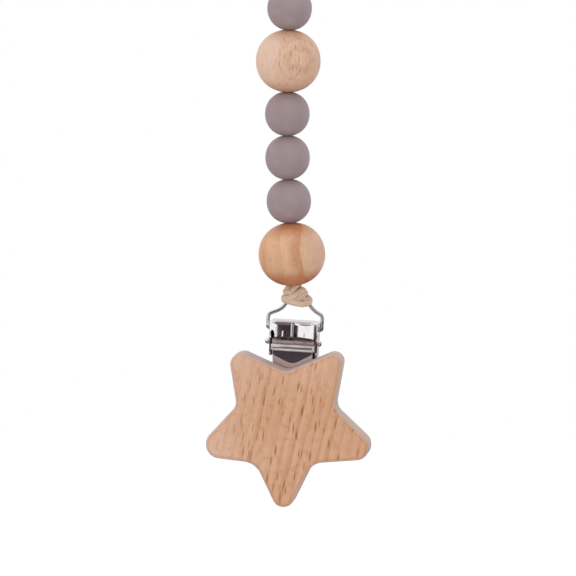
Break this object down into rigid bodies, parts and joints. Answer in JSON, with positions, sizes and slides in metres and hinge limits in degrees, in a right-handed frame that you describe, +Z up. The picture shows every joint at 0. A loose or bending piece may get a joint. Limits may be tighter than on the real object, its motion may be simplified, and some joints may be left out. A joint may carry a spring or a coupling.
{
  "type": "teether clip",
  "caption": "Baby's teether strap hanging by its cord loop: silicone and beech beads on a cord, knotted to a sprung chrome clip with a wooden star screwed to its lever.",
  "frame": {"origin": "inside top of the end loop, where a hook or a teether's ring would carry the strap", "axes": "+Z up along the hanging strand, the star's front looks along -Y, +X to the right of someone facing the star"},
  "size_m": [0.0456, 0.0201, 0.1842],
  "materials": {
    "silicone": "matt grey silicone",
    "pale_beech": "sanded, pale",
    "warm_beech": "sanded, warmer",
    "star_beech": "sanded and waxed",
    "cord": "braided",
    "chrome": "bright plated",
    "spring_steel": "plain",
    "pad_plastic": "moulded",
    "screw_steel": "plated"
  },
  "bodies": {
    "hanging_loop": {"end_loop": "cord", "loop_knot": "cord"},
    "strand_1": {"cord_run_1": "cord"},
    "strand_2": {"cord_run_2": "cord"},
    "strand_3": {"cord_run_3": "cord"},
    "strand_4": {"cord_run_4": "cord"},
    "strand_5": {"cord_run_5": "cord"},
    "strand_6": {"cord_run_6": "cord"},
    "bead_1": {"silicone_bead_1": "silicone"},
    "bead_2": {"beech_bead_upper": "pale_beech"},
    "bead_3": {"silicone_bead_2": "silicone"},
    "bead_4": {"silicone_bead_3": "silicone"},
    "bead_5": {"silicone_bead_4": "silicone"},
    "bead_6": {"beech_bead_lower": "warm_beech"},
    "bail": {"clip_knot": "cord", "bail": "chrome"},
    "clip": {"clip_body": "chrome", "hinge_pin": "chrome", "back_pad": "pad_plastic"},
    "lever": {"lever_plate": "chrome", "wooden_star": "star_beech", "star_screw_upper": "screw_steel", "star_screw_lower": "screw_steel"},
    "jaw": {"inner_jaw": "spring_steel", "front_pad": "pad_plastic"}
  },
  "joints": [
    {"name": "strand_bend_1", "type": "hinge", "parent": "hanging_loop", "child": "strand_1", "pos_m": [0, 0, -0.04032], "axis": [0, 1, 0], "range_deg": [-15, 15]},
    {"name": "strand_bend_2", "type": "hinge", "parent": "strand_1", "child": "strand_2", "pos_m": [-0.00031, 0, -0.0523], "axis": [1, 0, 0], "range_deg": [-15, 15]},
    {"name": "strand_bend_3", "type": "hinge", "parent": "strand_2", "child": "strand_3", "pos_m": [-0.00076, 0, -0.0692], "axis": [0, 1, 0], "range_deg": [-15, 15]},
    {"name": "strand_bend_4", "type": "hinge", "parent": "strand_3", "child": "strand_4", "pos_m": [-0.00082, 0, -0.08119], "axis": [1, 0, 0], "range_deg": [-15, 15]},
    {"name": "strand_bend_5", "type": "hinge", "parent": "strand_4", "child": "strand_5", "pos_m": [-0.00061, 0, -0.09317], "axis": [0, 1, 0], "range_deg": [-15, 15]},
    {"name": "strand_bend_6", "type": "hinge", "parent": "strand_5", "child": "strand_6", "pos_m": [-0.00013, 0, -0.10514], "axis": [1, 0, 0], "range_deg": [-15, 15]},
    {"name": "strand_bend_7", "type": "hinge", "parent": "strand_6", "child": "bail", "pos_m": [0.00109, 0, -0.12257], "axis": [0, 1, 0], "range_deg": [-15, 15]},
    {"name": "bead_spin_1", "type": "hinge", "parent": "strand_1", "child": "bead_1", "pos_m": [-0.00016, 0, -0.04631], "axis": [0.0262, 0, 0.9997], "continuous": true},
    {"name": "bead_spin_2", "type": "hinge", "parent": "strand_2", "child": "bead_2", "pos_m": [-0.00053, 0, -0.06075], "axis": [0.0262, 0, 0.9997], "continuous": true},
    {"name": "bead_spin_3", "type": "hinge", "parent": "strand_3", "child": "bead_3", "pos_m": [-0.00079, 0, -0.0752], "axis": [0.0052, 0, 1], "continuous": true},
    {"name": "bead_spin_4", "type": "hinge", "parent": "strand_4", "child": "bead_4", "pos_m": [-0.00071, 0, -0.08718], "axis": [-0.0175, 0, 0.9998], "continuous": true},
    {"name": "bead_spin_5", "type": "hinge", "parent": "strand_5", "child": "bead_5", "pos_m": [-0.00037, 0, -0.09916], "axis": [-0.0401, 0, 0.9992], "continuous": true},
    {"name": "bead_spin_6", "type": "hinge", "parent": "strand_6", "child": "bead_6", "pos_m": [0.00048, 0, -0.11386], "axis": [-0.0698, 0, 0.9976], "continuous": true},
    {"name": "clip_swing", "type": "hinge", "parent": "bail", "child": "clip", "pos_m": [0.00126, 0, -0.13432], "axis": [0.999, 0, -0.0454], "range_deg": [-50, 50]},
    {"name": "lever_open", "type": "hinge", "parent": "clip", "child": "lever", "pos_m": [0.00109, 0, -0.13802], "axis": [-0.999, 0, 0.0454], "range_deg": [0, 60]},
    {"name": "jaw_open", "type": "hinge", "parent": "clip", "child": "jaw", "pos_m": [0.0013, 0.00285, -0.13332], "axis": [-0.999, 0, 0.0454], "range_deg": [0, 7]}
  ],
  "couplings": [
    {"joint": "jaw_open", "follows": "lever_open", "ratio": 0.11}
  ]
}
